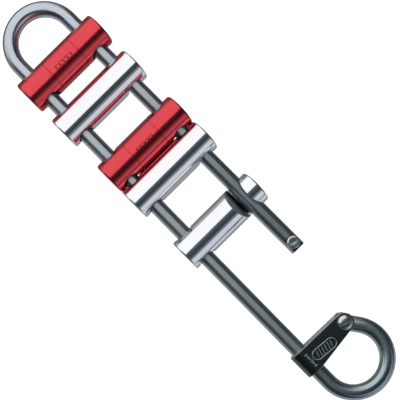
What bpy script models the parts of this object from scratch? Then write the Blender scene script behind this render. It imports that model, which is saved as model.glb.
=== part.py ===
"""Five-bar brake rack: a friction descender for rope.

A stainless rod is bent to a U with a long and a short leg. The long leg runs on
into an eye, closed by a folded plate and a screw. Five aluminium bars sit across
the legs: two are captive on both, and three swing open about the long leg.

Metres, +Z up. The rack lies flat with its front up: +X points from the eye to the
U bend, +Y from the short leg to the long leg, and the bars' undersides are at z = 0.
"""
import math

import bmesh
import bpy
from mathutils import Matrix, Vector

# Rod and its path
OVERALL_LENGTH = 0.2917
ROD_RADIUS = 0.0045
BEND_RADIUS = 0.0189          # U bend and eye, to the middle of the rod
LEG_SPLAY = math.radians(0.3)  # each leg leans outwards by this much
SHORT_LEG_END_X = -0.0575
EYE_SCREW = (-0.1039, -0.0087)
ROD_TAIL = 0.0042             # rod beyond the middle of the eye screw
ARC_STEP = math.radians(7.5)
ROD_SIDES = 24

# Bars
BAR_RADIUS = 0.00975
BAR_LENGTH = 0.056
BAR_CHAMFER = 0.0014
BAR_X = {1: 0.1064, 2: 0.0792, 3: 0.0435, 4: 0.0238, 5: -0.0163}
CAPTIVE_BARS = (1, 3)
SLOT_SIDE = {2: -1.0, 4: -1.0, 5: 1.0}   # +1 opens at the front, -1 at the back
HOLE_RADIUS = 0.0056
HOLE_FLARE_RADIUS = 0.0066
HOLE_FLARE_DEPTH = 0.0028
HOLE_INSET = 0.0008           # a captive bar's holes are this much inside the legs
SLOT_RADIUS = 0.0051
SLOT_SHIFT = 0.0001           # the slot lies this much nearer the long leg than the rod
SLOT_SLANT = math.radians(28.0)
SLOT_RELIEF_SLANT = math.radians(6.0)
BUSH_OUTER_RADIUS = 0.0053
BUSH_INNER_RADIUS = 0.0048
BUSH_LENGTH = 0.0156

# Eye plate, a folded sheet
GAP = 0.0003                  # between pieces that touch
PLATE_THICKNESS = 0.0015
PLATE_TOP_X = -0.0978
PLATE_FOOT_X = -0.1126
PLATE_SQUARE_Y = 0.0175       # the lower edge is square to the leg down to here
EAR_RADIUS = 0.0053

# Fasteners
EYE_SHANK_RADIUS = 0.0025
EYE_HEAD_RADIUS = 0.00425
EYE_HEAD_HEIGHT = 0.0028
EYE_NUT_ACROSS_FLATS = 0.008
EYE_NUT_HEIGHT = 0.0026
EYE_SLOT_ANGLE = math.radians(72.0)
STOP_X = -0.0529
STOP_SHANK_RADIUS = 0.002
STOP_HEAD_RADIUS = 0.0037
STOP_HEAD_HEIGHT = 0.0022
STOP_SLOT_ANGLE = math.radians(67.0)
STOP_FLAT_HEIGHT = 0.0032     # of the milled flat above the middle of the rod
STOP_FLAT_LENGTH = 0.0085
DRIVER_SLOT_WIDTH = 0.0012
DRIVER_SLOT_DEPTH = 0.0013

MIDDLE_Z = BAR_RADIUS
CUTTER_LENGTH = 0.03
ROUND_STEPS = 48
SMALL_STEPS = 32
MERGE = 0.00001

# World axes that a turned piece's own Z axis is laid along
ALONG_X = Matrix.Rotation(math.radians(90.0), 4, "Y")
ALONG_Y = Matrix.Rotation(math.radians(-90.0), 4, "X")
ALONG_Z = Matrix.Identity(4)


def clear_scene():
    for item in list(bpy.data.objects):
        bpy.data.objects.remove(item)


def new_collection(name):
    collection = bpy.data.collections.new(name)
    bpy.context.scene.collection.children.link(collection)
    return collection


def new_material(name, colour, roughness, metallic):
    material = bpy.data.materials.new(name)
    material.use_nodes = True
    shader = material.node_tree.nodes["Principled BSDF"]
    shader.inputs["Base Color"].default_value = (*colour, 1.0)
    shader.inputs["Roughness"].default_value = roughness
    shader.inputs["Metallic"].default_value = metallic
    return material


def add_mesh(name, mesh, collection, place=ALONG_Z):
    piece = bpy.data.objects.new(name, mesh)
    piece.matrix_world = place
    collection.objects.link(piece)
    return piece


def finish_piece(piece, material):
    piece.data.materials.clear()
    piece.data.materials.append(material)
    piece.data.shade_smooth()
    return piece


def turned(name, profile, collection, place, steps=ROUND_STEPS, closed=False):
    """A piece turned about its own Z axis from (radius, height) points, top to bottom."""
    count = len(profile)
    edges = [(i, i + 1) for i in range(count - 1)]
    if closed:
        edges.append((count - 1, 0))
    mesh = bpy.data.meshes.new(name)
    mesh.from_pydata([(radius, 0.0, height) for radius, height in profile], edges, [])
    piece = add_mesh(name, mesh, collection, place)
    screw = piece.modifiers.new("turn", "SCREW")
    screw.steps = steps
    screw.render_steps = steps
    screw.use_merge_vertices = True
    screw.merge_threshold = MERGE
    return piece


def box(name, size, collection, place):
    bm = bmesh.new()
    bmesh.ops.create_cube(bm, size=1.0)
    bmesh.ops.scale(bm, vec=Vector(size), verts=bm.verts)
    mesh = bpy.data.meshes.new(name)
    bm.to_mesh(mesh)
    bm.free()
    return add_mesh(name, mesh, collection, place)


def curve_to_mesh(curve, collection):
    """Replace a curve object by a closed mesh object of the same name and place."""
    name = curve.name
    graph = bpy.context.evaluated_depsgraph_get()
    mesh = bpy.data.meshes.new_from_object(curve.evaluated_get(graph))
    place = curve.matrix_world.copy()
    bm = bmesh.new()
    bm.from_mesh(mesh)
    bmesh.ops.remove_doubles(bm, verts=bm.verts, dist=MERGE)
    bm.to_mesh(mesh)
    bm.free()
    bpy.data.objects.remove(curve)
    return add_mesh(name, mesh, collection, place)


def spline_object(name, points, collection, flat):
    data = bpy.data.curves.new(name, "CURVE")
    data.dimensions = "2D" if flat else "3D"
    spline = data.splines.new("POLY")
    spline.points.add(len(points) - 1)
    for target, point in zip(spline.points, points):
        target.co = (point[0], point[1], 0.0, 1.0)
    spline.use_cyclic_u = flat
    curve = bpy.data.objects.new(name, data)
    collection.objects.link(curve)
    return curve


def as_cutter(cutter):
    cutter.hide_render = True
    cutter.display_type = "WIRE"
    return cutter


def boolean(piece, cutter, operation="DIFFERENCE"):
    as_cutter(cutter)
    modifier = piece.modifiers.new(operation.lower(), "BOOLEAN")
    modifier.operation = operation
    modifier.solver = "EXACT"
    modifier.object = cutter


def at(x, y, z, turn=ALONG_Z):
    return Matrix.Translation((x, y, z)) @ turn


# ---------------------------------------------------------------- the rod's path

def bend_centre():
    return Vector((OVERALL_LENGTH / 2 - ROD_RADIUS - BEND_RADIUS, 0.0))


def eye_centre():
    """The eye's arc runs on from the long leg, so it is tangent to it."""
    x = -OVERALL_LENGTH / 2 + ROD_RADIUS + BEND_RADIUS
    return Vector((x, leg_y(x) - BEND_RADIUS / math.cos(LEG_SPLAY)))


def leg_y(x):
    """How far a leg's middle is from the rack's middle line at this x."""
    return BEND_RADIUS / math.cos(LEG_SPLAY) + (bend_centre().x - x) * math.tan(LEG_SPLAY)


def arc(centre, radius, start, end):
    steps = max(1, math.ceil(abs(end - start) / ARC_STEP))
    angles = [start + (end - start) * i / steps for i in range(steps + 1)]
    return [centre + radius * Vector((math.cos(a), math.sin(a))) for a in angles]


def rod_path():
    square = math.pi / 2
    points = [Vector((SHORT_LEG_END_X, -leg_y(SHORT_LEG_END_X)))]
    points += arc(bend_centre(), BEND_RADIUS, LEG_SPLAY - square, square - LEG_SPLAY)
    to_screw = Vector(EYE_SCREW) - eye_centre()
    straight = math.sqrt(to_screw.length_squared - BEND_RADIUS ** 2)
    leave = math.atan2(to_screw.y, to_screw.x) - math.atan2(straight, BEND_RADIUS)
    points += arc(eye_centre(), BEND_RADIUS, square - LEG_SPLAY, leave + 2 * math.pi)
    along = (Vector(EYE_SCREW) - points[-1]).normalized()
    points.append(Vector(EYE_SCREW) + along * ROD_TAIL)
    return points


# ---------------------------------------------------------------- pieces

def make_rod(parts, cutters, material):
    curve = spline_object("frame_rod", rod_path(), parts, flat=False)
    curve.data.bevel_depth = ROD_RADIUS
    curve.data.bevel_resolution = ROD_SIDES // 2 - 2
    curve.data.use_fill_caps = True
    curve.location.z = MIDDLE_Z
    bpy.context.view_layer.update()
    rod = curve_to_mesh(curve, parts)
    eye_hole = turned("eye_screw_hole", rod_drill(EYE_SHANK_RADIUS + GAP), cutters,
                      at(*EYE_SCREW, MIDDLE_Z), SMALL_STEPS)
    stop_hole = turned("stop_screw_hole", rod_drill(STOP_SHANK_RADIUS + GAP), cutters,
                       at(STOP_X, -leg_y(STOP_X), MIDDLE_Z), SMALL_STEPS)
    flat_middle = SHORT_LEG_END_X + STOP_FLAT_LENGTH / 2
    flat = box("stop_flat", (STOP_FLAT_LENGTH + GAP, 4 * ROD_RADIUS, 2 * ROD_RADIUS), cutters,
               at(flat_middle, -leg_y(flat_middle), MIDDLE_Z + STOP_FLAT_HEIGHT + ROD_RADIUS))
    for cutter in (eye_hole, stop_hole, flat):
        boolean(rod, cutter)
    finish_piece(rod, material)


def rod_drill(radius):
    reach = 2 * ROD_RADIUS
    return [(0.0, reach), (radius, reach), (radius, -reach), (0.0, -reach)]


def bar_profile(middle):
    """Half outline of a bar, with chamfered ends, whose middle is at this height."""
    end = BAR_LENGTH / 2
    half = [(0.0, end), (BAR_RADIUS - BAR_CHAMFER, end), (BAR_RADIUS, end - BAR_CHAMFER)]
    return ([(r, middle + h) for r, h in half]
            + [(r, middle - h) for r, h in reversed(half)])


def hole_profile(radius):
    """A through hole whose two mouths flare towards the bar's surface."""
    reach = CUTTER_LENGTH / 2
    start = BAR_RADIUS - HOLE_FLARE_DEPTH
    slope = (HOLE_FLARE_RADIUS - HOLE_RADIUS) / HOLE_FLARE_DEPTH
    half = [(0.0, reach), (radius + slope * (reach - start), reach), (radius, start)]
    return half + [(r, -h) for r, h in reversed(half)]


def make_slot(bar, number, x, cutters):
    """The open slot for the short leg: it slants towards the long leg as it opens."""
    side = SLOT_SIDE[number]
    y = -leg_y(x) + SLOT_SHIFT
    hole = turned(f"slot_end_{number}", hole_profile(SLOT_RADIUS), cutters,
                  at(x, y, MIDDLE_Z, ALONG_X))
    boolean(bar, hole)
    depth = 2 * BAR_RADIUS
    for label, slant in (("slot", SLOT_SLANT), ("slot_relief", SLOT_RELIEF_SLANT)):
        lean = Matrix.Rotation(-side * slant, 4, "X")
        middle = lean @ Vector((0.0, 0.0, side * depth / 2))
        channel = box(f"{label}_{number}", (CUTTER_LENGTH, 2 * SLOT_RADIUS, depth), cutters,
                      at(x, y + middle.y, MIDDLE_Z + middle.z, lean))
        boolean(bar, channel)


def make_bar(number, parts, cutters, material):
    x = BAR_X[number]
    captive = number in CAPTIVE_BARS
    name = f"captive_bar_{number}" if captive else f"swing_bar_{number}"
    origin_y = 0.0 if captive else leg_y(x)
    bar = turned(name, bar_profile(-origin_y), parts, at(x, origin_y, MIDDLE_Z, ALONG_Y))
    if captive:
        holes_y = (leg_y(x) - HOLE_INSET, HOLE_INSET - leg_y(x))
    else:
        holes_y = (leg_y(x),)
    for y in holes_y:
        hole = turned(f"leg_hole_{number}", hole_profile(HOLE_RADIUS), cutters,
                      at(x, y, MIDDLE_Z, ALONG_X))
        boolean(bar, hole)
    if not captive:
        make_slot(bar, number, x, cutters)
    finish_piece(bar, material)


def make_bush(number, parts, material):
    """The sleeve that a swinging bar turns on, itself free to slide on the long leg."""
    end = BUSH_LENGTH / 2
    profile = [(BUSH_INNER_RADIUS, end), (BUSH_OUTER_RADIUS, end),
               (BUSH_OUTER_RADIUS, -end), (BUSH_INNER_RADIUS, -end)]
    x = BAR_X[number]
    lie = Matrix.Rotation(-LEG_SPLAY, 4, "Z") @ ALONG_X
    bush = turned(f"pivot_bush_{number}", profile, parts, at(x, leg_y(x), MIDDLE_Z, lie),
                  SMALL_STEPS, closed=True)
    finish_piece(bush, material)


def tangent_angle(point, turn):
    """Where a line from this point touches the rounded end of the eye plate's ears."""
    away = Vector(point) - Vector(EYE_SCREW)
    return math.atan2(away.y, away.x) + turn * math.acos(EAR_RADIUS / away.length)


def plate_outline():
    far_y = leg_y(PLATE_TOP_X) + 2 * ROD_RADIUS + PLATE_THICKNESS
    top = (PLATE_TOP_X, far_y)
    square = (PLATE_FOOT_X, PLATE_SQUARE_Y)
    foot = (PLATE_FOOT_X, far_y)
    start = tangent_angle(square, 1.0)
    end = tangent_angle(top, -1.0) + 2 * math.pi
    return [foot, square] + arc(Vector(EYE_SCREW), EAR_RADIUS, start, end) + [top]


def make_eye_plate(parts, cutters, material):
    """One strip folded round the long leg, with an ear on each side of the rod's end."""
    middle_x = (PLATE_TOP_X + PLATE_FOOT_X) / 2
    fold_y = leg_y(middle_x)
    fold_radius = ROD_RADIUS + GAP + PLATE_THICKNESS / 2
    tip_y = EYE_SCREW[1] - 2 * EAR_RADIUS
    fold = [(fold_y + p.x, p.y) for p in arc(Vector((0.0, 0.0)), fold_radius,
                                             -math.pi / 2, math.pi / 2)]
    strip = [(tip_y, -fold_radius)] + fold + [(tip_y, fold_radius)]
    half = PLATE_TOP_X - PLATE_FOOT_X
    corners = [(x, y, z) for x in (-half, half) for y, z in strip]
    count = len(strip)
    faces = [(i, i + 1, count + i + 1, count + i) for i in range(count - 1)]
    mesh = bpy.data.meshes.new("eye_plate")
    mesh.from_pydata(corners, [], faces)
    plate = add_mesh("eye_plate", mesh, parts, at(middle_x, 0.0, MIDDLE_Z))
    sheet = plate.modifiers.new("sheet", "SOLIDIFY")
    sheet.thickness = PLATE_THICKNESS
    sheet.offset = 0.0
    sheet.use_even_offset = True
    outline = spline_object("plate_outline", plate_outline(), cutters, flat=True)
    outline.data.fill_mode = "BOTH"
    outline.data.extrude = 2 * BAR_RADIUS
    outline.location.z = MIDDLE_Z
    bpy.context.view_layer.update()
    boolean(plate, curve_to_mesh(outline, cutters), "INTERSECT")
    hole = turned("plate_screw_hole", rod_drill(EYE_SHANK_RADIUS + GAP), cutters,
                  at(*EYE_SCREW, MIDDLE_Z), SMALL_STEPS)
    boolean(plate, hole)
    finish_piece(plate, material)


def make_screw(name, head, shank, slot_angle, place, parts, cutters, material):
    """A slotted screw: head is (radius, foot height, top height), shank (radius, end)."""
    head_radius, foot, top = head
    shank_radius, end = shank
    crown = 0.12 * head_radius
    profile = [(0.0, top), (head_radius - 2 * crown, top), (head_radius, top - crown),
               (head_radius, foot), (shank_radius, foot), (shank_radius, end), (0.0, end)]
    screw = turned(name, profile, parts, place, SMALL_STEPS)
    turn = Matrix.Rotation(slot_angle, 4, "Z")
    slot = box(f"{name}_slot", (3 * head_radius, DRIVER_SLOT_WIDTH, 2 * DRIVER_SLOT_DEPTH),
               cutters, place @ Matrix.Translation((0.0, 0.0, top)) @ turn)
    boolean(screw, slot)
    finish_piece(screw, material)


def make_eye_nut(parts, cutters, material):
    ear = ROD_RADIUS + GAP + PLATE_THICKNESS
    height = ear + GAP + EYE_NUT_HEIGHT / 2
    bm = bmesh.new()
    corner_radius = EYE_NUT_ACROSS_FLATS / math.sqrt(3.0)
    bmesh.ops.create_cone(bm, cap_ends=True, segments=6, radius1=corner_radius,
                          radius2=corner_radius, depth=EYE_NUT_HEIGHT)
    mesh = bpy.data.meshes.new("eye_nut")
    bm.to_mesh(mesh)
    bm.free()
    nut = add_mesh("eye_nut", mesh, parts, at(*EYE_SCREW, MIDDLE_Z - height))
    hole = turned("eye_nut_hole", rod_drill(EYE_SHANK_RADIUS + GAP), cutters,
                  at(*EYE_SCREW, MIDDLE_Z - height), SMALL_STEPS)
    boolean(nut, hole)
    nut.data.materials.append(material)


def make_fasteners(parts, cutters, material):
    ear = ROD_RADIUS + GAP + PLATE_THICKNESS
    foot = ear + GAP
    make_screw("eye_screw", (EYE_HEAD_RADIUS, foot, foot + EYE_HEAD_HEIGHT),
               (EYE_SHANK_RADIUS, -foot - EYE_NUT_HEIGHT), EYE_SLOT_ANGLE,
               at(*EYE_SCREW, MIDDLE_Z), parts, cutters, material)
    make_eye_nut(parts, cutters, material)
    foot = STOP_FLAT_HEIGHT + GAP
    make_screw("stop_screw", (STOP_HEAD_RADIUS, foot, foot + STOP_HEAD_HEIGHT),
               (STOP_SHANK_RADIUS, -ROD_RADIUS), STOP_SLOT_ANGLE,
               at(STOP_X, -leg_y(STOP_X), MIDDLE_Z), parts, cutters, material)


def main():
    clear_scene()
    parts = new_collection("brake_rack")
    cutters = new_collection("cutters")
    steel = new_material("stainless_rod", (0.42, 0.44, 0.46), 0.22, 1.0)
    bright = new_material("screw_steel", (0.62, 0.61, 0.58), 0.2, 1.0)
    silver = new_material("polished_aluminium", (0.88, 0.88, 0.9), 0.12, 1.0)
    red = new_material("red_anodised_aluminium", (0.62, 0.03, 0.05), 0.28, 0.9)
    black = new_material("black_plate", (0.02, 0.03, 0.03), 0.4, 0.4)
    polymer = new_material("dark_polymer", (0.03, 0.03, 0.03), 0.5, 0.0)
    make_rod(parts, cutters, steel)
    for number in BAR_X:
        captive = number in CAPTIVE_BARS
        make_bar(number, parts, cutters, red if captive else silver)
        if not captive:
            make_bush(number, parts, polymer)
    make_eye_plate(parts, cutters, black)
    make_fasteners(parts, cutters, bright)


main()
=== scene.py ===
"""The looks of a five-bar brake rack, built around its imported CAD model."""
import math

import bmesh
import bpy
from mathutils import Matrix, Vector


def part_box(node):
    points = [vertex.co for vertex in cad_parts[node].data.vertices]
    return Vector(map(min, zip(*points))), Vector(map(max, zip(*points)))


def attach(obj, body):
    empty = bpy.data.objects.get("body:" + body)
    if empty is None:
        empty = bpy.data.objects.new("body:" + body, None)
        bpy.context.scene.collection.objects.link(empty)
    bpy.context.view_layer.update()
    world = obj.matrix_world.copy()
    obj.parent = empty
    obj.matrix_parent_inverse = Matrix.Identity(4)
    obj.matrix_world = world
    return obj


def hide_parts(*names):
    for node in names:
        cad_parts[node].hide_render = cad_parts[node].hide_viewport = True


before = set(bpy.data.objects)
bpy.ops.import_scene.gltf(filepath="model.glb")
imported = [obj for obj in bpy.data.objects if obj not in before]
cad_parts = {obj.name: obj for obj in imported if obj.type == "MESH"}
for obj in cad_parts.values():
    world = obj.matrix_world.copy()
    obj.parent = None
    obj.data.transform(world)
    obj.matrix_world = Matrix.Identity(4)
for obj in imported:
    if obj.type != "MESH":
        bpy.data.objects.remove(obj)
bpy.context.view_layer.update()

# ---------------------------------------------------------------- sizes, in metres

rod_low, rod_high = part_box("frame_rod")
ROD_RADIUS = (rod_high.z - rod_low.z) / 2
MIDDLE_Z = (rod_high.z + rod_low.z) / 2
ROD_TOP_X = rod_high.x
ROD_FOOT_X = rod_low.x
BEND_RADIUS = 0.0189          # U bend and eye, to the middle of the rod
LEG_SPLAY = math.radians(0.3)  # each leg leans outwards by this much
SHORT_LEG_END_X = -0.0575
ROD_TAIL = 0.0042             # rod beyond the middle of the eye screw
ARC_STEP = math.radians(3.0)
ROD_SIDES = 64
ROD_END_CHAMFER = 0.0004
FLAT_LENGTH = 0.0085          # the milled flat for the stop screw
FLAT_HEIGHT = 0.0032          # above the rod's middle
EYE_DRILL = 0.0028
STOP_DRILL = 0.0023

HOLE_RADIUS = 0.0056
BAR_EXTRA = 0.0001            # bars 3 and 4 just touch, and let no light through
MOUTH_ROUNDING = 0.0004       # radius of the rounded edge of a hole's mouths
HOLE_INSET = 0.0008           # a captive bar's holes are this much inside the legs
SLOT_RADIUS = 0.0051
SLOT_SHIFT = 0.0001           # the slot lies this much nearer the long leg
SLOT_SLANT = math.radians(28.0)
# +1 opens at the front, -1 at the back
SLOT_SIDE = {"swing_bar_2": -1.0, "swing_bar_4": -1.0, "swing_bar_5": 1.0}
CAPTIVE_BARS = ("captive_bar_1", "captive_bar_3")
CAPTIVE_CORNER = 0.0014       # rounding of the bars' ends
SWING_CORNER = 0.0012
TURNED_LINE = (0.0097, 0.0005, 0.00025)   # place along the bar, width, depth

GAP = 0.0003                  # between pieces that touch
SHEET = 0.0015                # thickness of the eye plate
EAR_RADIUS = 0.0053
PLATE_SQUARE_Y = 0.0175       # the plate's lower edge is square to the leg down to here

MERGE = 0.00001
REACH = 0.03                  # half length of a long cutter
FINE = 128                    # steps round a large turned shape
SMALL = 64                    # and round a small one

screw_low, screw_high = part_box("eye_screw")
EYE_SCREW = ((screw_low.x + screw_high.x) / 2, (screw_low.y + screw_high.y) / 2)
stop_low, stop_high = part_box("stop_screw")
STOP_SCREW = ((stop_low.x + stop_high.x) / 2, (stop_low.y + stop_high.y) / 2)
plate_low, plate_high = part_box("eye_plate")

ALONG_X = Matrix.Rotation(math.radians(90.0), 4, "Y")
ALONG_Y = Matrix.Rotation(math.radians(-90.0), 4, "X")
ALONG_Z = Matrix.Identity(4)


# ---------------------------------------------------------------- building helpers

def link(item):
    bpy.context.scene.collection.objects.link(item)
    return item


def add_mesh(name, mesh, place=ALONG_Z):
    piece = link(bpy.data.objects.new(name, mesh))
    piece.matrix_world = place
    return piece


def at(x, y, z, turn=ALONG_Z):
    return Matrix.Translation((x, y, z)) @ turn


def turned(name, profile, place, steps=FINE):
    """Turned about its own Z axis from (radius, height) points, from top to bottom."""
    edges = [(i, i + 1) for i in range(len(profile) - 1)]
    mesh = bpy.data.meshes.new(name)
    mesh.from_pydata([(radius, 0.0, height) for radius, height in profile], edges, [])
    piece = add_mesh(name, mesh, place)
    screw = piece.modifiers.new("turn", "SCREW")
    screw.steps = steps
    screw.render_steps = steps
    screw.use_merge_vertices = True
    screw.merge_threshold = MERGE
    return piece


def box(name, size, place):
    bm = bmesh.new()
    bmesh.ops.create_cube(bm, size=1.0)
    bmesh.ops.scale(bm, vec=Vector(size), verts=bm.verts)
    mesh = bpy.data.meshes.new(name)
    bm.to_mesh(mesh)
    bm.free()
    return add_mesh(name, mesh, place)


def mirrored(profile):
    """A profile's upper half, with its mirror image below."""
    return profile + [(radius, -height) for radius, height in reversed(profile)]


def rounding(centre, radius, start, end, steps=6):
    """Points of a rounded corner of a profile, with angles in degrees."""
    angles = [math.radians(start + (end - start) * i / steps) for i in range(steps + 1)]
    return [(centre[0] + radius * math.cos(a), centre[1] + radius * math.sin(a))
            for a in angles]


def cut(piece, cutter, operation="DIFFERENCE"):
    """A cut's faces keep the cutter's material where it has one."""
    modifier = piece.modifiers.new("cut", "BOOLEAN")
    modifier.operation = operation
    modifier.solver = "EXACT"
    modifier.material_mode = "TRANSFER" if cutter.data.materials else "INDEX"
    modifier.object = cutter
    return cutter


def coloured(piece, material):
    piece.data.materials.append(material)
    return piece


def soften(piece, width, segments, angle):
    """Bevel the edges sharper than this angle."""
    bevel = piece.modifiers.new("soften", "BEVEL")
    bevel.width = width
    bevel.segments = segments
    bevel.limit_method = "ANGLE"
    bevel.angle_limit = math.radians(angle)
    bevel.use_clamp_overlap = True


def settle(piece, cutters=()):
    """Make the modifiers real, in world coordinates, and remove the cutters."""
    bpy.context.view_layer.update()
    graph = bpy.context.evaluated_depsgraph_get()
    mesh = bpy.data.meshes.new_from_object(piece.evaluated_get(graph))
    mesh.transform(piece.matrix_world)
    piece.modifiers.clear()
    piece.data = mesh
    piece.matrix_world = Matrix.Identity(4)
    for cutter in cutters:
        bpy.data.objects.remove(cutter)
    return piece


def shade(piece, sharp=32.0):
    piece.data.shade_smooth()
    piece.data.set_sharp_from_angle(angle=math.radians(sharp))


def flatten(piece, sharp=50.0):
    """Smooth shading in which the large flat faces keep their own normals."""
    shade(piece, sharp)
    weighted = piece.modifiers.new("flatten", "WEIGHTED_NORMAL")
    weighted.keep_sharp = True
    weighted.weight = 100
    settle(piece)


def spline(name, points, flat):
    data = bpy.data.curves.new(name, "CURVE")
    data.dimensions = "2D" if flat else "3D"
    path = data.splines.new("POLY")
    path.points.add(len(points) - 1)
    for target, point in zip(path.points, points):
        target.co = (point[0], point[1], 0.0, 1.0)
    path.use_cyclic_u = flat
    return link(bpy.data.objects.new(name, data))


def curve_to_mesh(curve):
    bpy.context.view_layer.update()
    graph = bpy.context.evaluated_depsgraph_get()
    mesh = bpy.data.meshes.new_from_object(curve.evaluated_get(graph))
    mesh.transform(curve.matrix_world)
    name = curve.name
    bm = bmesh.new()
    bm.from_mesh(mesh)
    bmesh.ops.remove_doubles(bm, verts=bm.verts, dist=MERGE)
    bm.to_mesh(mesh)
    bm.free()
    bpy.data.objects.remove(curve)
    return add_mesh(name, mesh)


def hand_in(piece, node, body, material=None):
    """Put a finished piece on its body, in place of its CAD node."""
    if material:
        piece.data.materials.clear()
        piece.data.materials.append(material)
    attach(piece, body)
    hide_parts(node)


# ---------------------------------------------------------------- materials

class Nodes:
    """A material's node tree, with short calls for what the finishes need."""

    def __init__(self, name, base, metallic, roughness):
        self.material = bpy.data.materials.new(name)
        self.material.use_nodes = True
        self.tree = self.material.node_tree
        self.shader = self.tree.nodes["Principled BSDF"]
        self.shader.inputs["Base Color"].default_value = (*base, 1.0)
        self.shader.inputs["Metallic"].default_value = metallic
        self.shader.inputs["Roughness"].default_value = roughness

    def add(self, kind, **values):
        node = self.tree.nodes.new(kind)
        for name, value in values.items():
            setattr(node, name, value)
        return node

    def join(self, source, target):
        self.tree.links.new(source, target)

    def noise(self, stretch, detail=3.0):
        """Noise whose grain has this many cells a metre along each axis."""
        place = self.add("ShaderNodeTexCoord")
        mapping = self.add("ShaderNodeMapping")
        mapping.inputs["Scale"].default_value = stretch
        noise = self.add("ShaderNodeTexNoise")
        noise.inputs["Scale"].default_value = 1.0
        noise.inputs["Detail"].default_value = detail
        self.join(place.outputs["Object"], mapping.inputs["Vector"])
        self.join(mapping.outputs["Vector"], noise.inputs["Vector"])
        return noise.outputs["Fac"]

    def spread(self, value, low, high):
        """Map a 0 to 1 value onto low to high."""
        node = self.add("ShaderNodeMapRange")
        node.inputs["To Min"].default_value = low
        node.inputs["To Max"].default_value = high
        self.join(value, node.inputs["Value"])
        return node.outputs["Result"]

    def math(self, operation, first, second, third=0.0):
        node = self.add("ShaderNodeMath", operation=operation)
        for socket, value in zip(node.inputs, (first, second, third)):
            if hasattr(value, "links"):
                self.join(value, socket)
            else:
                socket.default_value = value
        return node.outputs["Value"]

    def band(self, value, low, high):
        """Rise smoothly from 0 at low to 1 at high."""
        node = self.add("ShaderNodeMapRange", interpolation_type="SMOOTHSTEP")
        node.inputs["From Min"].default_value = low
        node.inputs["From Max"].default_value = high
        self.join(value, node.inputs["Value"])
        return node.outputs["Result"]

    def bump(self, height, distance):
        node = self.add("ShaderNodeBump")
        node.inputs["Distance"].default_value = distance
        node.inputs["Strength"].default_value = 1.0
        self.join(height, node.inputs["Height"])
        self.join(node.outputs["Normal"], self.shader.inputs["Normal"])

    def tint(self, value, dark, light):
        node = self.add("ShaderNodeMix", data_type="RGBA")
        node.inputs["A"].default_value = (*dark, 1.0)
        node.inputs["B"].default_value = (*light, 1.0)
        self.join(value, node.inputs["Factor"])
        self.join(node.outputs["Result"], self.shader.inputs["Base Color"])


def rod_steel():
    """Drawn stainless rod: its fine lengthwise lines draw each reflection out along it.

    It is a little smoother in its bends, and its colour is lighter towards the U bend: a
    painted reflection of the brighter light there.
    """
    nodes = Nodes("rod_steel", (0.5, 0.54, 0.59), 1.0, 0.35)
    nodes.shader.inputs["Anisotropic"].default_value = 0.9
    tangent = nodes.add("ShaderNodeTangent", direction_type="UV_MAP")
    nodes.join(tangent.outputs["Tangent"], nodes.shader.inputs["Tangent"])
    grain = nodes.noise((1200.0, 400.0, 400.0))
    place = nodes.add("ShaderNodeTexCoord")
    parts = nodes.add("ShaderNodeSeparateXYZ")
    nodes.join(place.outputs["Object"], parts.inputs["Vector"])
    x = parts.outputs["X"]
    bent = nodes.math("MAXIMUM", nodes.band(x, 0.104, 0.122), nodes.band(x, -0.104, -0.116))
    rough = nodes.math("MULTIPLY_ADD", bent, -0.08, 0.31)
    nodes.join(nodes.math("MULTIPLY_ADD", grain, 0.06, rough),
               nodes.shader.inputs["Roughness"])
    # painted reflection: the colour grows lighter towards the U bend, by the object's X
    painted_bend_reflection = nodes.math("MULTIPLY", nodes.band(x, -0.02, 0.1), 0.8)
    blotches = nodes.noise((60.0, 60.0, 60.0))
    nodes.tint(nodes.math("MULTIPLY_ADD", blotches, 0.3, painted_bend_reflection),
               (0.42, 0.49, 0.51), (0.57, 0.61, 0.68))
    return nodes.material


def plate_steel():
    """Blackened steel plate with a fine grain."""
    nodes = Nodes("plate_steel", (0.13, 0.15, 0.14), 1.0, 0.25)
    grain = nodes.noise((500.0, 2200.0, 500.0), 4.0)
    nodes.join(nodes.spread(grain, 0.2, 0.3), nodes.shader.inputs["Roughness"])
    nodes.bump(grain, 0.000001)
    nodes.tint(nodes.noise((150.0, 150.0, 150.0)), (0.115, 0.135, 0.13), (0.145, 0.165, 0.155))
    return nodes.material


def polished_aluminium():
    """Turned and polished: faint rings round the bar, and a few soft blotches."""
    nodes = Nodes("polished_aluminium", (0.91, 0.91, 0.92), 1.0, 0.1)
    rings = nodes.noise((25.0, 3800.0, 25.0), 4.0)
    nodes.join(nodes.spread(rings, 0.07, 0.13), nodes.shader.inputs["Roughness"])
    nodes.bump(rings, 0.000001)
    nodes.tint(nodes.noise((120.0, 90.0, 120.0)), (0.88, 0.88, 0.9), (0.93, 0.93, 0.94))
    return nodes.material


def red_anodised():
    """Red anodised aluminium: a soft metallic red under a thin clear layer."""
    nodes = Nodes("red_anodised", (0.76, 0.04, 0.06), 1.0, 0.25)
    nodes.shader.inputs["Coat Weight"].default_value = 0.55
    nodes.shader.inputs["Coat IOR"].default_value = 1.7
    nodes.shader.inputs["Coat Roughness"].default_value = 0.12
    rings = nodes.noise((40.0, 3200.0, 40.0), 4.0)
    nodes.join(nodes.spread(rings, 0.19, 0.26), nodes.shader.inputs["Roughness"])
    nodes.bump(rings, 0.000002)
    nodes.tint(nodes.noise((300.0, 300.0, 300.0)), (0.68, 0.03, 0.05), (0.76, 0.04, 0.06))
    return nodes.material


def plain_metal(name, base, roughness):
    """Stamped metal, and the painted shade of the holes' bores and of the rod's flat: darker
    than the finish round it, with fine tool marks.
    """
    nodes = Nodes(name, base, 1.0, roughness)
    marks = nodes.noise((1800.0, 1800.0, 1800.0))
    nodes.join(nodes.spread(marks, roughness - 0.08, roughness + 0.1),
               nodes.shader.inputs["Roughness"])
    nodes.bump(marks, 0.000002)
    return nodes.material


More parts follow.
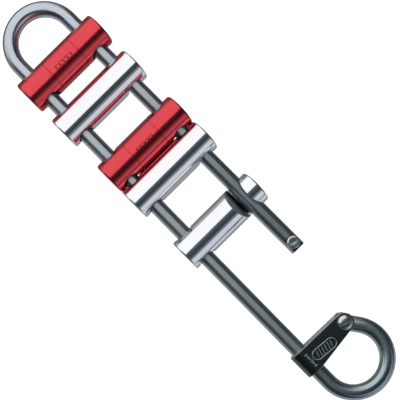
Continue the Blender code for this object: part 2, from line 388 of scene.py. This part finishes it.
def screw_steel():
    """Bright plated steel."""
    nodes = Nodes("screw_steel", (0.68, 0.68, 0.66), 1.0, 0.2)
    marks = nodes.noise((1500.0, 1500.0, 200.0))
    nodes.join(nodes.spread(marks, 0.14, 0.26), nodes.shader.inputs["Roughness"])
    nodes.bump(marks, 0.000002)
    return nodes.material


def etched_steel():
    """The bright metal of the black plate's marks and of its cut edges."""
    nodes = Nodes("etched_steel", (0.7, 0.72, 0.72), 1.0, 0.55)
    grain = nodes.noise((3000.0, 3000.0, 3000.0), 2.0)
    nodes.join(nodes.spread(grain, 0.45, 0.7), nodes.shader.inputs["Roughness"])
    return nodes.material


def dark_polymer():
    """Near-black, slightly rough plastic for the bushes: painted shade for the dark rings round
    the rods in the swinging bars' hole mouths.
    """
    nodes = Nodes("dark_polymer", (0.02, 0.02, 0.022), 0.0, 0.45)
    grain = nodes.noise((2500.0, 2500.0, 2500.0))
    nodes.join(nodes.spread(grain, 0.38, 0.55), nodes.shader.inputs["Roughness"])
    nodes.bump(grain, 0.00001)
    return nodes.material


# ---------------------------------------------------------------- the rod

def bend_centre():
    return Vector((ROD_TOP_X - ROD_RADIUS - BEND_RADIUS, 0.0))


def leg_y(x):
    """How far a leg's middle is from the rack's middle line at this x."""
    return BEND_RADIUS / math.cos(LEG_SPLAY) + (bend_centre().x - x) * math.tan(LEG_SPLAY)


def eye_centre():
    x = ROD_FOOT_X + ROD_RADIUS + BEND_RADIUS
    return Vector((x, leg_y(x) - BEND_RADIUS / math.cos(LEG_SPLAY)))


def arc(centre, radius, start, end, step=ARC_STEP):
    count = max(1, math.ceil(abs(end - start) / step))
    angles = [start + (end - start) * i / count for i in range(count + 1)]
    return [centre + radius * Vector((math.cos(a), math.sin(a))) for a in angles]


def rod_path():
    square = math.pi / 2
    points = [Vector((SHORT_LEG_END_X, -leg_y(SHORT_LEG_END_X)))]
    points += arc(bend_centre(), BEND_RADIUS, LEG_SPLAY - square, square - LEG_SPLAY)
    to_screw = Vector(EYE_SCREW) - eye_centre()
    straight = math.sqrt(to_screw.length_squared - BEND_RADIUS ** 2)
    leave = math.atan2(to_screw.y, to_screw.x) - math.atan2(straight, BEND_RADIUS)
    points += arc(eye_centre(), BEND_RADIUS, square - LEG_SPLAY, leave + 2 * math.pi)
    along = (Vector(EYE_SCREW) - points[-1]).normalized()
    points.append(Vector(EYE_SCREW) + along * ROD_TAIL)
    return points


def drill(radius):
    reach = 2 * ROD_RADIUS
    return mirrored([(0.0, reach), (radius, reach)])


def make_rod(material, painted_shade_flat):
    curve = spline("rod", rod_path(), flat=False)
    curve.data.bevel_depth = ROD_RADIUS
    curve.data.bevel_resolution = ROD_SIDES // 2 - 2
    curve.data.use_fill_caps = True
    curve.location.z = MIDDLE_Z
    rod = coloured(curve_to_mesh(curve), material)
    flat_x = SHORT_LEG_END_X + FLAT_LENGTH / 2
    # the flat for the stop screw takes the dark metal: painted shade
    cutters = [
        cut(rod, turned("drill", drill(EYE_DRILL), at(*EYE_SCREW, MIDDLE_Z), SMALL)),
        cut(rod, turned("drill", drill(STOP_DRILL), at(*STOP_SCREW, MIDDLE_Z), SMALL)),
        cut(rod, coloured(box("flat", (FLAT_LENGTH + GAP, 4 * ROD_RADIUS, 2 * ROD_RADIUS),
                              at(flat_x, -leg_y(flat_x), MIDDLE_Z + FLAT_HEIGHT + ROD_RADIUS)),
                          painted_shade_flat)),
    ]
    settle(rod, cutters)
    soften(rod, ROD_END_CHAMFER, 2, 40.0)
    settle(rod)
    shade(rod)
    hand_in(rod, "frame_rod", "frame")


# ---------------------------------------------------------------- the bars

def bar_profile(length, radius, corner, grooves=()):
    """A bar's outline with rounded ends, and fine turned grooves at these heights."""
    end = length / 2
    half = [(0.0, end)] + rounding((radius - corner, end - corner), corner, 90.0, 0.0, 8)
    for height, width, depth in grooves:
        half += [(radius, height + width / 2), (radius - depth, height + width / 6),
                 (radius - depth, height - width / 6), (radius, height - width / 2)]
    return mirrored(half)


def hole_cutter(name, radius, bar_radius, place):
    """A through hole along its own Z, its mouths' edges rounded where they meet the bar."""
    meeting = math.radians(25.0)      # the rounding runs out at this angle to the bar
    beyond = 0.0015                   # how far the cutter goes on from there
    rings = []
    for step in range(FINE):
        turn = 2 * math.pi * step / FINE
        across = math.cos(turn)
        edge = math.sqrt(bar_radius ** 2 - (radius * across) ** 2)
        wedge = math.atan2(edge, radius * across ** 2)
        centre = (radius + MOUTH_ROUNDING, edge - MOUTH_ROUNDING / math.tan(wedge / 2))
        leave = wedge + meeting
        curve = rounding(centre, MOUTH_ROUNDING, math.degrees(leave), 180.0, 8)
        outer = (curve[0][0] + beyond * math.sin(leave),
                 curve[0][1] - beyond * math.cos(leave))
        profile = mirrored([(outer[0], REACH), outer] + curve)
        rings.append([(away * across, away * math.sin(turn), height)
                      for away, height in profile])
    count = len(rings[0])
    faces = [tuple(i * count for i in range(FINE)),
             tuple(i * count + count - 1 for i in reversed(range(FINE)))]
    for i in range(FINE):
        here, there = i * count, (i + 1) % FINE * count
        faces += [(here + k, here + k + 1, there + k + 1, there + k) for k in range(count - 1)]
    mesh = bpy.data.meshes.new(name)
    mesh.from_pydata([corner for ring in rings for corner in ring], [], faces)
    return add_mesh(name, mesh, place)


def slot_cutters(x, y, side, bar_radius):
    """The round seat for the short leg, and the slanted channel that leads out of it.

    They have no material of their own, so the slot takes the bar's finish.
    """
    seat = hole_cutter("seat", SLOT_RADIUS, bar_radius, at(x, y, MIDDLE_Z, ALONG_X))
    lean = Matrix.Rotation(-side * SLOT_SLANT, 4, "X")
    depth = 2 * bar_radius
    middle = lean @ Vector((0.0, 0.0, side * depth / 2))
    channel = box("channel", (2 * REACH, 2 * SLOT_RADIUS, depth),
                  at(x, y + middle.y, MIDDLE_Z + middle.z, lean))
    return [seat, channel]


def stamp_cutters(x, bar_radius, stamped):
    """A plain stamped mark: a row of strokes and dots, with a thin line below it."""
    def stroke(angle, y, size):
        turn = Matrix.Rotation(math.radians(angle), 4, "Y")
        lift = turn @ Vector((0.0, 0.0, bar_radius))
        piece = box("stroke", (*size, 0.0006), at(x + lift.x, y, MIDDLE_Z + lift.z, turn))
        return coloured(piece, stamped)

    strokes = []
    count = 9
    pitch = 0.0014
    for i in range(count):
        y = (i - (count - 1) / 2) * pitch
        if i % 2:
            strokes += [stroke(-1.0, y, (0.0007, 0.0007)), stroke(-13.0, y, (0.0007, 0.0007))]
        else:
            strokes.append(stroke(-7.0, y, (0.0028, 0.0006)))
    strokes.append(stroke(-20.0, -0.0006, (0.0003, 0.0135)))
    return strokes


def round_normals(piece, x, radius):
    """Give the bar's round surface its true normals, which the cuts have disturbed."""
    mesh = piece.data
    slack = 0.00004
    normals = [tuple(corner.vector) for corner in mesh.corner_normals]
    for face in mesh.polygons:
        spots = [mesh.vertices[i].co for i in face.vertices]
        away = [math.hypot(s.x - x, s.z - MIDDLE_Z) for s in spots]
        if min(away) < radius - slack or abs(face.normal.y) > 0.2:
            continue
        for loop, spot, reach in zip(face.loop_indices, spots, away):
            normals[loop] = ((spot.x - x) / reach, 0.0, (spot.z - MIDDLE_Z) / reach)
    mesh.normals_split_custom_set(normals)


def finish_mouths(piece, x, radius):
    """Carry the bar's own finish over the rounded mouths of its holes; the painted shade stays
    only further inside the bores.
    """
    for face in piece.data.polygons:
        away = math.hypot(face.center.x - x, face.center.z - MIDDLE_Z)
        if face.material_index == 1 and away > radius - 2 * MOUTH_ROUNDING:
            face.material_index = 0


def make_bar(node, body, material, painted_shade_metal, stamped):
    low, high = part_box(node)
    x = (low.x + high.x) / 2
    radius = (high.z - low.z) / 2 + BAR_EXTRA
    captive = node in CAPTIVE_BARS
    grooves = (TURNED_LINE,) if captive else ()
    corner = CAPTIVE_CORNER if captive else SWING_CORNER
    profile = bar_profile(high.y - low.y, radius, corner, grooves)
    bar = coloured(turned(node + "_fine", profile, at(x, 0.0, MIDDLE_Z, ALONG_Y)), material)
    hole_y = leg_y(x) - (HOLE_INSET if captive else 0.0)
    # the holes' cutters give the bores a dark metal: painted shade
    cutters = [coloured(hole_cutter("hole", HOLE_RADIUS, radius,
                                    at(x, y, MIDDLE_Z, ALONG_X)), painted_shade_metal)
               for y in ((hole_y, -hole_y) if captive else (hole_y,))]
    if captive:
        cutters += stamp_cutters(x, radius, stamped)
    else:
        cutters += slot_cutters(x, -leg_y(x) + SLOT_SHIFT, SLOT_SIDE[node], radius)
    for cutter in cutters:
        cut(bar, cutter)
    settle(bar, cutters)
    shade(bar)
    round_normals(bar, x, radius)
    finish_mouths(bar, x, radius)
    hand_in(bar, node, body)


# ---------------------------------------------------------------- the eye plate

def tangent_angle(point, turn):
    """Where a line from this point touches the ear's circle, on the side of the turn."""
    away = Vector(point) - Vector(EYE_SCREW)
    return math.atan2(away.y, away.x) + turn * math.acos(EAR_RADIUS / away.length)


def plate_outline():
    far_y = plate_high.y + SHEET
    top = (plate_high.x, far_y)
    square = (plate_low.x, PLATE_SQUARE_Y)
    foot = (plate_low.x, far_y)
    start = tangent_angle(square, 1.0)
    end = tangent_angle(top, -1.0) + 2 * math.pi
    return [foot, square] + arc(Vector(EYE_SCREW), EAR_RADIUS, start, end) + [top]


def make_eye_plate(material, bright_inner_metal):
    """The folded plate: blackened on its outer faces, with its cut edges and its inner faces in
    the bright etched metal.
    """
    middle_x = (plate_low.x + plate_high.x) / 2
    fold_y = leg_y(middle_x)
    fold_radius = ROD_RADIUS + GAP + SHEET / 2
    tip_y = EYE_SCREW[1] - 2 * EAR_RADIUS
    fold = [(fold_y + p.x, p.y) for p in arc(Vector((0.0, 0.0)), fold_radius,
                                             -math.pi / 2, math.pi / 2)]
    strip = [(tip_y, -fold_radius)] + fold + [(tip_y, fold_radius)]
    half = plate_high.x - plate_low.x
    corners = [(x, y, z) for x in (-half, half) for y, z in strip]
    count = len(strip)
    faces = [(i, i + 1, count + i + 1, count + i) for i in range(count - 1)]
    mesh = bpy.data.meshes.new("plate")
    mesh.from_pydata(corners, [], faces)
    plate = add_mesh("plate", mesh, at(middle_x, 0.0, MIDDLE_Z))
    sheet = plate.modifiers.new("sheet", "SOLIDIFY")
    sheet.thickness = SHEET
    sheet.offset = 0.0
    sheet.use_even_offset = True
    outline = spline("outline", plate_outline(), flat=True)
    outline.data.fill_mode = "BOTH"
    outline.data.extrude = REACH
    outline.location.z = MIDDLE_Z
    cutters = [cut(plate, curve_to_mesh(outline), "INTERSECT"),
               cut(plate, turned("drill", drill(EYE_DRILL), at(*EYE_SCREW, MIDDLE_Z), SMALL))]
    settle(plate, cutters)
    soften(plate, 0.0002, 2, 30.0)
    settle(plate)
    flatten(plate)
    plate.data.materials.clear()
    plate.data.materials.append(material)
    plate.data.materials.append(bright_inner_metal)
    outside = fold_radius + SHEET / 2
    for face in plate.data.polygons:
        away = Vector((0.0, max(face.center.y - fold_y, 0.0), face.center.z - MIDDLE_Z))
        blackened = away.length > outside - 0.0001 and away.normalized().dot(face.normal) > 0.95
        face.material_index = 0 if blackened else 1
    hand_in(plate, "eye_plate", "frame")


def make_plate_marks(material):
    """A plain emblem of slanted strokes in a rounded outline, and a row of small marks."""
    line_radius = 0.0003
    sunk = 0.0002
    length, width, lean = 0.0155, 0.0058, math.radians(4.5)
    centre = Vector((-0.1063, 0.0093))

    def place(along, across):
        return centre + Vector((across * math.cos(lean) - along * math.sin(lean),
                                -along * math.cos(lean) - across * math.sin(lean)))

    end = (length - width) / 2
    half_turn = math.pi / 2
    rim = (arc(Vector((end, 0.0)), width / 2, half_turn, -half_turn, math.radians(12.0))
           + arc(Vector((-end, 0.0)), width / 2, -half_turn, -3 * half_turn,
                 math.radians(12.0)))
    lines = [[place(*point) for point in rim + rim[:1]]]
    strokes = 6
    for i in range(strokes):
        along = (i - (strokes - 1) / 2) * 0.0019
        reach = 0.0017 if i in (0, strokes - 1) else 0.0021
        lines.append([place(along - 0.0005, -reach), place(along + 0.0005, reach)])
    for i, size in enumerate((0.9, 0.5, 0.8, 0.4, 0.9, 0.7, 0.4, 0.8)):
        spot = Vector((-0.1016 - 0.00115 * i, 0.0190))
        reach = Vector((0.0001, 0.0009 * size))
        lines.append([spot - reach, spot + reach])
    data = bpy.data.curves.new("plate_marks", "CURVE")
    data.dimensions = "3D"
    data.bevel_depth = line_radius
    data.bevel_resolution = 2
    data.use_fill_caps = True
    for line in lines:
        path = data.splines.new("POLY")
        path.points.add(len(line) - 1)
        for target, point in zip(path.points, line):
            target.co = (point.x, point.y, 0.0, 1.0)
    marks = link(bpy.data.objects.new("plate_marks", data))
    marks.location.z = MIDDLE_Z + ROD_RADIUS + GAP + SHEET - sunk
    marks = curve_to_mesh(marks)
    shade(marks, 60.0)
    marks.data.materials.clear()
    marks.data.materials.append(material)
    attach(marks, "frame")


# ---------------------------------------------------------------- fasteners

def cheese_head(radius, foot, top):
    """A flat head with a well rounded rim, from the middle of its top to its foot."""
    width, height = 0.0009, 0.0007
    rim = [(radius - width + width * math.sin(math.radians(a)),
            top - height + height * math.cos(math.radians(a))) for a in range(0, 91, 15)]
    return [(0.0, top)] + rim + [(radius, foot)]


def pan_head(radius, foot, top):
    """A domed head."""
    spring = foot + 0.35 * (top - foot)
    steps = 14
    dome = []
    for i in range(steps + 1):
        angle = math.radians(90.0 * i / steps)
        dome.append((radius * math.sin(angle) ** 0.8,
                     spring + (top - spring) * math.cos(angle) ** 0.9))
    return dome + [(radius, foot)]


def make_screw(node, head, shank_radius, slot, slot_angle, material):
    """A slotted screw; the slot's size is its width and its depth below the top."""
    low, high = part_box(node)
    x, y = (low.x + high.x) / 2, (low.y + high.y) / 2
    profile = head + [(shank_radius, head[-1][1]), (shank_radius, low.z), (0.0, low.z)]
    screw = turned(node + "_fine", profile, at(x, y, 0.0), SMALL)
    turn = Matrix.Rotation(math.radians(slot_angle), 4, "Z")
    width, depth = slot
    cutter = cut(screw, box("slot", (REACH, width, 2 * depth), at(x, y, high.z, turn)))
    settle(screw, [cutter])
    soften(screw, 0.00022, 3, 35.0)
    settle(screw)
    flatten(screw)
    hand_in(screw, node, "frame", material)


def make_nut(material):
    low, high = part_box("eye_nut")
    x, y = (low.x + high.x) / 2, (low.y + high.y) / 2
    height = high.z - low.z
    across = min(high.x - low.x, high.y - low.y)
    corner = across / math.sqrt(3.0)
    bm = bmesh.new()
    bmesh.ops.create_cone(bm, cap_ends=True, segments=6, radius1=corner, radius2=corner,
                          depth=height)
    mesh = bpy.data.meshes.new("nut")
    bm.to_mesh(mesh)
    bm.free()
    middle = (low.z + high.z) / 2
    nut = add_mesh("eye_nut_fine", mesh, at(x, y, middle))
    shoulder = across / 2 - 0.0001
    above = 0.0005
    slope = math.tan(math.radians(30.0))
    wide = corner + 0.0002
    barrel = mirrored([(0.0, height / 2 + above),
                       (shoulder - above / slope, height / 2 + above),
                       (wide, height / 2 - (wide - shoulder) * slope)])
    cutters = [cut(nut, turned("barrel", barrel, at(x, y, middle), SMALL), "INTERSECT"),
               cut(nut, turned("drill", drill(EYE_DRILL), at(x, y, middle), SMALL))]
    settle(nut, cutters)
    shade(nut, 20.0)
    hand_in(nut, "eye_nut", "frame", material)


# ---------------------------------------------------------------- studio

CAMERA_HEIGHT = 0.464          # above the rod's middle plane
PICTURE_TURN = math.radians(225.25)
VIEW_SHIFT = 0.205
LENS = 75.2
SENSOR_WIDTH = 36.0


def picture_down():
    """The direction in the row frame that points down in the picture."""
    return Vector((math.sin(PICTURE_TURN), -math.cos(PICTURE_TURN), 0.0))


def make_camera():
    data = bpy.data.cameras.new("camera")
    data.lens = LENS
    data.sensor_width = SENSOR_WIDTH
    data.shift_y = VIEW_SHIFT
    camera = link(bpy.data.objects.new("camera", data))
    offset = VIEW_SHIFT * SENSOR_WIDTH / LENS * CAMERA_HEIGHT
    camera.location = picture_down() * offset
    camera.location.z = MIDDLE_Z + CAMERA_HEIGHT
    camera.rotation_euler = (0.0, 0.0, PICTURE_TURN)
    bpy.context.scene.camera = camera


def make_panel():
    """A white sheet overhead, which starts over the object and widens towards +X."""
    near, far, height = 0.01, 1.9, 0.5
    near_half, far_half, shift = 0.35, 1.2, -0.08
    corners = [(near, shift - near_half, height), (near, shift + near_half, height),
               (far, shift + far_half, height), (far, shift - far_half, height)]
    mesh = bpy.data.meshes.new("overhead_sheet")
    mesh.from_pydata(corners, [], [(0, 1, 2, 3)])
    sheet = add_mesh("overhead_sheet", mesh)
    sheet.visible_camera = False
    material = bpy.data.materials.new("white_light")
    material.use_nodes = True
    tree = material.node_tree
    tree.nodes.remove(tree.nodes["Principled BSDF"])
    glow = tree.nodes.new("ShaderNodeEmission")
    glow.inputs["Color"].default_value = (1.0, 1.0, 1.0, 1.0)
    glow.inputs["Strength"].default_value = 1.05
    tree.links.new(glow.outputs["Emission"], tree.nodes["Material Output"].inputs["Surface"])
    sheet.data.materials.append(material)


class Tree:
    """Short calls for the world's node tree."""

    def __init__(self, tree):
        self.tree = tree

    def feed(self, socket, value):
        if hasattr(value, "links"):
            self.tree.links.new(value, socket)
        else:
            socket.default_value = value

    def math(self, operation, first, second=0.0, third=0.0):
        node = self.tree.nodes.new("ShaderNodeMath")
        node.operation = operation
        for socket, value in zip(node.inputs, (first, second, third)):
            self.feed(socket, value)
        return node.outputs["Value"]

    def step(self, value, low, high):
        """Rise smoothly from 0 at low to 1 at high."""
        node = self.tree.nodes.new("ShaderNodeMapRange")
        node.interpolation_type = "SMOOTHSTEP"
        node.inputs["From Min"].default_value = low
        node.inputs["From Max"].default_value = high
        self.feed(node.inputs["Value"], value)
        return node.outputs["Result"]

    def mix(self, factor, first, second):
        node = self.tree.nodes.new("ShaderNodeMix")
        node.data_type = "RGBA"
        self.feed(node.inputs["Factor"], factor)
        self.feed(node.inputs["A"], first)
        self.feed(node.inputs["B"], second)
        return node.outputs["Result"]

    def ramp(self, value, stops):
        node = self.tree.nodes.new("ShaderNodeValToRGB")
        elements = node.color_ramp.elements
        while len(elements) < len(stops):
            elements.new(1.0)
        for element, (place, colour) in zip(elements, stops):
            element.position = place
            element.color = (*colour, 1.0)
        self.feed(node.inputs["Fac"], value)
        return node.outputs["Color"]


ROUND_X = (                       # degrees from straight up towards +X, and radiance
    (-180.0, (0.05, 0.05, 0.05)),
    (-168.0, (0.1, 0.1, 0.1)),
    (-158.0, (0.4, 0.4, 0.41)),
    (-140.0, (0.31, 0.32, 0.34)),
    (-128.0, (0.25, 0.27, 0.3)),
    (-120.0, (0.42, 0.46, 0.52)),
    (-113.0, (0.76, 0.8, 0.85)),
    (-106.0, (0.48, 0.52, 0.6)),
    (-92.0, (0.58, 0.61, 0.68)),
    (-57.0, (0.64, 0.67, 0.76)),
    (-51.0, (0.3, 0.32, 0.35)),
    (-46.0, (0.17, 0.18, 0.19)),
    (-40.0, (0.13, 0.14, 0.15)),
    (-34.0, (0.035, 0.042, 0.046)),
    (-20.0, (0.042, 0.06, 0.07)),
    (-9.0, (0.06, 0.1, 0.13)),
    (2.0, (0.1, 0.15, 0.19)),
    (30.0, (0.05, 0.06, 0.07)),
    (45.0, (1.0, 1.0, 1.0)),
    (82.0, (0.95, 0.95, 0.95)),
    (91.0, (0.5, 0.5, 0.5)),
    (98.0, (0.2, 0.2, 0.2)),
    (125.0, (0.17, 0.17, 0.17)),
    (145.0, (0.3, 0.3, 0.3)),
    (158.0, (0.4, 0.4, 0.4)),
    (168.0, (0.1, 0.1, 0.1)),
    (180.0, (0.05, 0.05, 0.05)),
)
STRIP_SHIFT = math.radians(9.0)      # the pale strip lies a little towards -Y
STRIP_HALF = math.radians(44.0)
STRIP_EDGE = math.radians(5.0)
DARK_SIDES = (0.036, 0.046, 0.048, 1.0)
FLOOR_FAR = 0.28
FLOOR_ALONG_Y = 0.2
FLOOR_NEAR = (0.8, 0.8, 0.8, 1.0)
FLOOR_UNDER = (0.05, 0.05, 0.05, 1.0)     # the object's own shade


def make_world():
    """What the metal mirrors: pale cloths at both ends, dark sides, and a pale floor."""
    world = bpy.data.worlds.new("studio")
    world.use_nodes = True
    tree = world.node_tree
    net = Tree(tree)
    place = tree.nodes.new("ShaderNodeTexCoord")
    parts = tree.nodes.new("ShaderNodeSeparateXYZ")
    tree.links.new(place.outputs["Generated"], parts.inputs["Vector"])
    x, y, z = parts.outputs["X"], parts.outputs["Y"], parts.outputs["Z"]
    angle = net.math("ARCTAN2", x, z)
    along = net.math("MULTIPLY_ADD", angle, 0.5 / math.pi, 0.5)
    stops = [((degrees + 180.0) / 360.0, colour) for degrees, colour in ROUND_X]
    round_x = net.ramp(along, stops)
    ahead = net.math("SUBTRACT", net.math("ABSOLUTE", x),
                     net.math("MULTIPLY", net.math("ABSOLUTE", y), 0.75))
    aside = net.math("ARCTAN2", y, z)
    strip = net.math("ABSOLUTE", net.math("ADD", aside, STRIP_SHIFT))
    strip = net.step(strip, STRIP_HALF + STRIP_EDGE, STRIP_HALF - STRIP_EDGE)
    strip = net.math("MAXIMUM", strip, net.step(x, 0.4, 0.6))
    inside = net.math("MULTIPLY", net.step(ahead, -0.06, 0.06), strip)
    near_top = net.step(net.math("ABSOLUTE", angle), math.radians(40.0), math.radians(30.0))
    middle = net.step(net.math("ABSOLUTE", y), 0.45, 0.2)
    inside = net.math("MAXIMUM", inside, net.math("MULTIPLY", near_top, middle))
    above = net.mix(inside, DARK_SIDES, round_x)
    down = net.math("MULTIPLY", z, -1.0)
    far = net.math("ADD", FLOOR_FAR, net.math("MULTIPLY", y, FLOOR_ALONG_Y))
    below = net.mix(net.step(down, 0.4, 1.15), far, FLOOR_NEAR)
    below = net.mix(net.step(down, 0.93, 0.985), below, FLOOR_UNDER)
    below = net.mix(net.step(ahead, -0.1, 0.1), below, round_x)
    whole = net.mix(net.step(down, -0.03, 0.06), above, below)
    background = tree.nodes["Background"]
    tree.links.new(whole, background.inputs["Color"])
    bpy.context.scene.world = world


FLOOR_Z = -0.0195                         # just below a bar swung right round


def make_floor():
    """A pale light table, low enough for the bars to swing; no metal mirrors it."""
    bm = bmesh.new()
    bmesh.ops.create_grid(bm, x_segments=1, y_segments=1, size=30.0)
    mesh = bpy.data.meshes.new("floor")
    bm.to_mesh(mesh)
    bm.free()
    floor = add_mesh("floor", mesh, at(0.0, 0.0, FLOOR_Z))
    floor.visible_glossy = False
    nodes = Nodes("pale_floor", (0.9, 0.9, 0.9), 0.0, 0.9)
    nodes.shader.inputs["Specular IOR Level"].default_value = 0.0
    nodes.shader.inputs["Emission Color"].default_value = (1.0, 1.0, 1.0, 1.0)
    nodes.shader.inputs["Emission Strength"].default_value = 0.9
    floor.data.materials.append(nodes.material)


def make_backdrop():
    """A white dome behind everything, for the camera alone."""
    bm = bmesh.new()
    bmesh.ops.create_uvsphere(bm, u_segments=48, v_segments=24, radius=3.0)
    lower = [vertex for vertex in bm.verts if vertex.co.z < -MERGE]
    bmesh.ops.delete(bm, geom=lower, context="VERTS")
    mesh = bpy.data.meshes.new("backdrop")
    bm.to_mesh(mesh)
    bm.free()
    dome = add_mesh("backdrop", mesh, at(0.0, 0.0, FLOOR_Z))
    dome.visible_glossy = False
    dome.visible_diffuse = False
    dome.visible_shadow = False
    nodes = Nodes("white_backdrop", (0.9, 0.9, 0.9), 0.0, 0.9)
    nodes.shader.inputs["Emission Color"].default_value = (1.0, 1.0, 1.0, 1.0)
    nodes.shader.inputs["Emission Strength"].default_value = 1.0
    dome.data.materials.append(nodes.material)


# ---------------------------------------------------------------- the object

def make_object():
    silver = polished_aluminium()
    red = red_anodised()
    bright = screw_steel()
    bush_shade_plastic = dark_polymer()
    # painted shade: a dark metal for the holes' bores and the rod's flat
    painted_shade_metal = plain_metal("painted_shade_bore", (0.13, 0.14, 0.14), 0.38)
    stamped = plain_metal("stamped_red", (0.2, 0.012, 0.02), 0.4)
    make_rod(rod_steel(), painted_shade_metal)
    for number in (1, 3):
        make_bar(f"captive_bar_{number}", f"bar_{number}", red, painted_shade_metal, stamped)
    for number in (2, 4, 5):
        make_bar(f"swing_bar_{number}", f"bar_{number}", silver, painted_shade_metal,
                 stamped)
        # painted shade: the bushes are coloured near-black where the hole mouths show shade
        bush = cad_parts[f"pivot_bush_{number}"]
        bush.data.materials.clear()
        bush.data.materials.append(bush_shade_plastic)
    etched = etched_steel()
    make_eye_plate(plate_steel(), etched)
    ear = ROD_RADIUS + 2 * GAP + SHEET
    make_plate_marks(etched)
    make_screw("eye_screw", pan_head(0.00425, MIDDLE_Z + ear, screw_high.z),
               shank_radius=0.0025, slot=(0.0015, 0.0014), slot_angle=68.0, material=bright)
    foot = FLAT_HEIGHT + GAP
    make_screw("stop_screw", cheese_head(0.0036, MIDDLE_Z + foot, stop_high.z),
               shank_radius=0.002, slot=(0.0009, 0.001), slot_angle=74.0, material=bright)
    make_nut(bright)


make_camera()
make_panel()
make_world()
make_floor()
make_backdrop()
make_object()
bpy.context.scene.view_settings.view_transform = "Standard"
